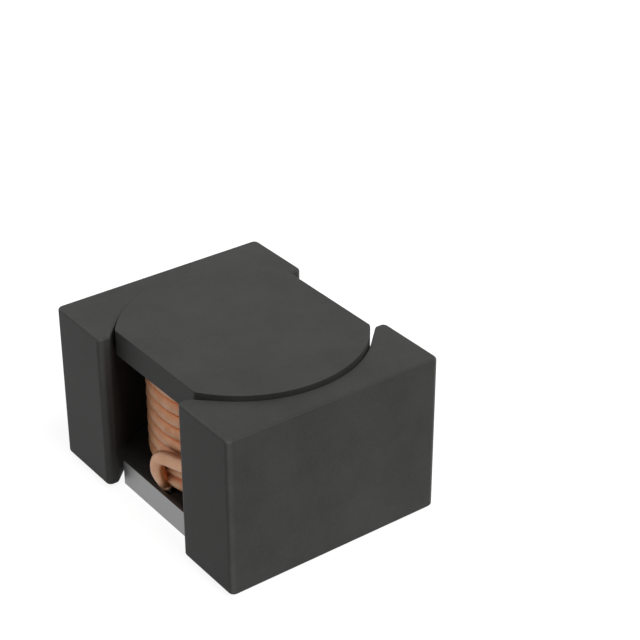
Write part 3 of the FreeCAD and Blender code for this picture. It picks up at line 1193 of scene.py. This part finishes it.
@dataclass
class Terminals(SubAssembly):
    """The two terminals, each folded from tinned strip, with the solder behind them."""

    sheet: float = 0.08
    face: float = 1.692
    band_top: float = 0.484
    bend: float = 0.03
    fold: float = 0.025
    flange_radius: float = 2.04
    pad_half_width: float = 0.862
    pad_end: float = 0.628
    pad_corner: float = 0.12
    pad_overlap: float = 0.018
    pad_ease: float = 0.0045
    pad_ease_steps: int = 3
    pad_step: float = 0.06
    sheared_edge: float = 0.005
    sheared_facing: float = 0.6
    underside: float = 0.001
    sheared_steps: int = 3
    fold_steps: int = 6
    bend_steps: int = 8
    rows: int = 24

    @staticmethod
    def rounded(
        x: float, z: float, radius: float, start: float, end: float, steps: int
    ) -> list[SectionPoint]:
        """An arc of the section, clockwise where it is hollow.

        Args:
            x: its centre's x.
            z: its centre's z.
            radius: its radius.
            start: the angle where it starts, in degrees.
            end: the angle where it ends.
            steps: the number of its segments.

        Returns:
            Its points.
        """
        side = 1 if end > start else -1
        found = []
        for i in range(steps + 1):
            angle = math.radians(start + (end - start) * i / steps)
            across, up = math.cos(angle), math.sin(angle)
            found.append((x + radius * across, z + radius * up, side * across, side * up))
        return found

    def band_section(self) -> list[SectionPoint]:
        """The band's section, anticlockwise seen from the front.

        Returns:
            Its points.
        """
        inner = self.face - self.sheet
        bend_x, bend_z = inner - self.bend, self.sheet + self.bend
        ease, fold, top = self.sheared_edge, self.fold, self.band_top - self.sheared_edge
        return [
            *self.rounded(-inner - ease, top, ease, 0, 90, self.sheared_steps),
            *self.rounded(-self.face + ease, top, ease, 90, 180, self.sheared_steps),
            *self.rounded(-self.face + fold, fold, fold, 180, 270, self.fold_steps),
            (-bend_x, 0.0, 1.0, 0.0),
            *self.rounded(-bend_x, bend_z, self.bend, 270, 180, self.bend_steps),
        ]

    def tone(self, height: float, upward: float) -> float:
        """The band's edge attribute.

        Args:
            height: the place's height.
            upward: how far its normal looks up.

        Returns:
            -1 on the sheared top, 1 on the underside, which is painted lit, and 0 elsewhere.
        """
        if upward > self.sheared_facing and height > self.sheet * 2:
            return -1.0
        return float(height < self.underside)

    def band(self) -> MeshParts:
        """The band and its bend, its ends following the flange's round outline.

        Returns:
            The closed mesh.
        """
        parts = MeshParts()
        section = self.band_section()
        count = len(section)
        normals = [Vector((across, 0, up)) for _, _, across, up in section]
        wear_and_painted_light = [self.tone(z, up) for _, z, _, up in section]
        rings = []
        for row in range(self.rows + 1):
            share = 2 * row / self.rows - 1
            points = [
                Vector((x, share * math.sqrt(self.flange_radius**2 - x * x), z))
                for x, z, _, _ in section
            ]
            rings.append(parts.add_ring(points, normals, wear_and_painted_light))
        for lower, upper in zip(rings, rings[1:]):
            parts.bridge(upper, lower, count)
        for ring, reverse in ((rings[0], False), (rings[-1], True)):
            points = [p.copy() for p in parts.points[ring : ring + count]]
            outward = [Vector((p.x, p.y, 0)).normalized() for p in points]
            parts.close(parts.add_ring(points, outward), count, reverse)
        return parts

    def pad(self) -> MeshParts:
        """The solder pad beneath the core.

        Returns:
            The closed mesh.
        """
        ease, corner, half = self.sheared_edge, self.pad_corner, self.pad_half_width
        left = -(self.face - self.sheet - self.bend) - self.pad_overlap
        outline = outline_of(
            [
                Arc(left + ease, -half + ease, ease, 180, 270),
                Arc(-self.pad_end - corner, -half + corner, corner, 270, 360),
                Arc(-self.pad_end - corner, half - corner, corner, 0, 90),
                Arc(left + ease, half - ease, ease, 90, 180),
            ],
            self.pad_step,
        )
        return eased_prism(outline, 0.0, self.sheet, self.pad_ease, self.pad_ease_steps)

    def build(self, tin: bpy.types.Material, solder: bpy.types.Material) -> None:
        """Builds both terminals and dresses the solder.

        Args:
            tin: the terminals' finish.
            solder: the solder's finish.
        """
        terminal, pad = self.band(), self.pad()
        # the pads are painted pale all over, as if lit
        pad.wear_and_painted_light = [1.0] * len(pad.points)
        terminal.merge(pad)
        names = (
            ("tinned_terminal_left", "terminal_left"),
            ("tinned_terminal_right", "terminal_right"),
        )
        self.stand_in_twice(terminal, names, tin, Slot.TIN)
        for node in ("solder_left", "solder_right"):
            self.dress(node, solder)


@dataclass
class Adhesive(SubAssembly):
    """The four beads of adhesive between the drum and the shields."""

    nodes: tuple[str, ...] = (
        "glue_front_upper",
        "glue_front_lower",
        "glue_rear_upper",
        "glue_rear_lower",
    )

    def build(self, epoxy: bpy.types.Material) -> None:
        """Dresses the beads."""
        for node in self.nodes:
            self.dress(node, epoxy)


# studio


@dataclass
class Studio:
    """The white floor and world, one wide, soft lamp and the camera.

    The camera's place is in millimetres and its turn in degrees.
    """

    sky: float = 0.24
    overhead: float = 0.9
    overhead_angle: float = 50.0
    overhead_tilt: tuple[float, float] = (37.0, 18.0)
    floor_size: float = 0.8
    floor_glow: float = 0.9
    floor_colour: str = "#909090"
    floor_drop: float = 0.01
    camera_place: tuple[float, float, float] = (-13.7096, -20.3943, 17.2844)
    camera_turn: tuple[float, float, float] = (60.013, 0.0, -36.7925)
    lens: float = 99.89
    sensor: float = 36.0
    clip: tuple[float, float] = (0.001, 10.0)

    def seen(self, tree: bpy.types.NodeTree) -> bpy.types.NodeSocket:
        """Tells the rays that show the background from those that light the object.

        Args:
            tree: the node tree to add to.

        Returns:
            A value of 1 for camera, glossy and transmission rays, and 0 for the rest.
        """
        path = add_node(tree, "ShaderNodeLightPath")
        either = add_node(
            tree,
            "ShaderNodeMath",
            {"operation": "MAXIMUM"},
            {0: path.outputs["Is Camera Ray"], 1: path.outputs["Is Glossy Ray"]},
        )
        any_of = add_node(
            tree,
            "ShaderNodeMath",
            {"operation": "MAXIMUM"},
            {0: either.outputs[0], 1: path.outputs["Is Transmission Ray"]},
        )
        return any_of.outputs[0]

    def light_world(self) -> None:
        """A world that lights at a plain level and is seen as white."""
        world = bpy.data.worlds.new("studio")
        world.use_nodes = True
        tree = world.node_tree
        tree.nodes.clear()
        lighting, white = (
            add_node(tree, "ShaderNodeBackground", {"Color": srgb("#FFFFFF"), "Strength": level})
            for level in (self.sky, 1.0)
        )
        mix = add_node(
            tree,
            "ShaderNodeMixShader",
            links={0: self.seen(tree), 1: lighting.outputs[0], 2: white.outputs[0]},
        )
        add_node(tree, "ShaderNodeOutputWorld", links={"Surface": mix.outputs[0]})
        bpy.context.scene.world = world

    def hang_lamp(self) -> None:
        """One wide, soft lamp, from the front and the right."""
        lamp = bpy.data.lights.new("overhead", "SUN")
        lamp.energy = self.overhead * math.pi
        lamp.angle = math.radians(self.overhead_angle)
        holder = bpy.data.objects.new("overhead", lamp)
        holder.rotation_euler = [math.radians(a) for a in (*self.overhead_tilt, 0.0)]
        bpy.context.scene.collection.objects.link(holder)

    def lay_floor(self) -> None:
        """A plain white floor that keeps a faint shadow; from below it is clear."""
        material = start_material("white_floor")
        tree = material.node_tree
        matt = add_node(tree, "ShaderNodeBsdfDiffuse", {"Color": srgb(self.floor_colour)})
        level = add_node(
            tree,
            "ShaderNodeMath",
            {"operation": "MULTIPLY", 1: self.floor_glow},
            {0: self.seen(tree)},
        )
        glow = add_node(
            tree,
            "ShaderNodeEmission",
            {"Color": srgb("#FFFFFF")},
            {"Strength": level.outputs[0]},
        )
        lit = add_node(
            tree, "ShaderNodeAddShader", links={0: matt.outputs[0], 1: glow.outputs[0]}
        )
        clear = add_node(tree, "ShaderNodeBsdfTransparent")
        below = add_node(tree, "ShaderNodeNewGeometry")
        mix = add_node(
            tree,
            "ShaderNodeMixShader",
            links={0: below.outputs["Backfacing"], 1: lit.outputs[0], 2: clear.outputs[0]},
        )
        add_node(tree, "ShaderNodeOutputMaterial", links={"Surface": mix.outputs[0]})
        half = self.floor_size / 2
        mesh = bpy.data.meshes.new("floor")
        corners = [(-half, -half, 0), (half, -half, 0), (half, half, 0), (-half, half, 0)]
        mesh.from_pydata(corners, [], [(0, 1, 2, 3)])
        mesh.materials.append(material)
        floor = bpy.data.objects.new("floor", mesh)
        floor.location.z = -self.floor_drop * MM
        bpy.context.scene.collection.objects.link(floor)

    def place_camera(self) -> None:
        """The camera at the photograph's place, found from the object's straight edges."""
        data = bpy.data.cameras.new("camera")
        data.lens, data.sensor_width = self.lens, self.sensor
        data.clip_start, data.clip_end = self.clip
        camera = bpy.data.objects.new("camera", data)
        camera.location = Vector(self.camera_place) * MM
        camera.rotation_euler = [math.radians(a) for a in self.camera_turn]
        bpy.context.scene.collection.objects.link(camera)
        bpy.context.scene.camera = camera

    def build(self) -> None:
        """Sets the whole studio up."""
        bpy.context.scene.view_settings.view_transform = "Standard"
        self.light_world()
        self.hang_lamp()
        self.lay_floor()
        self.place_camera()


def main() -> None:
    """Builds the object piece by piece, and the studio round it."""
    logging.basicConfig(level=logging.INFO, format="%(name)s: %(message)s")
    ferrite = Ferrite().material()
    DrumCore().build(ferrite)
    Shields().build(ferrite)
    Winding().build(EnamelledCopper().material(), PAINTED_LIT_COPPER.material())
    Terminals().build(TinPlate().material(), TIN_SOLDER.material())
    Adhesive().build(Epoxy().material())
    Studio().build()


if __name__ == "__main__":
    main()
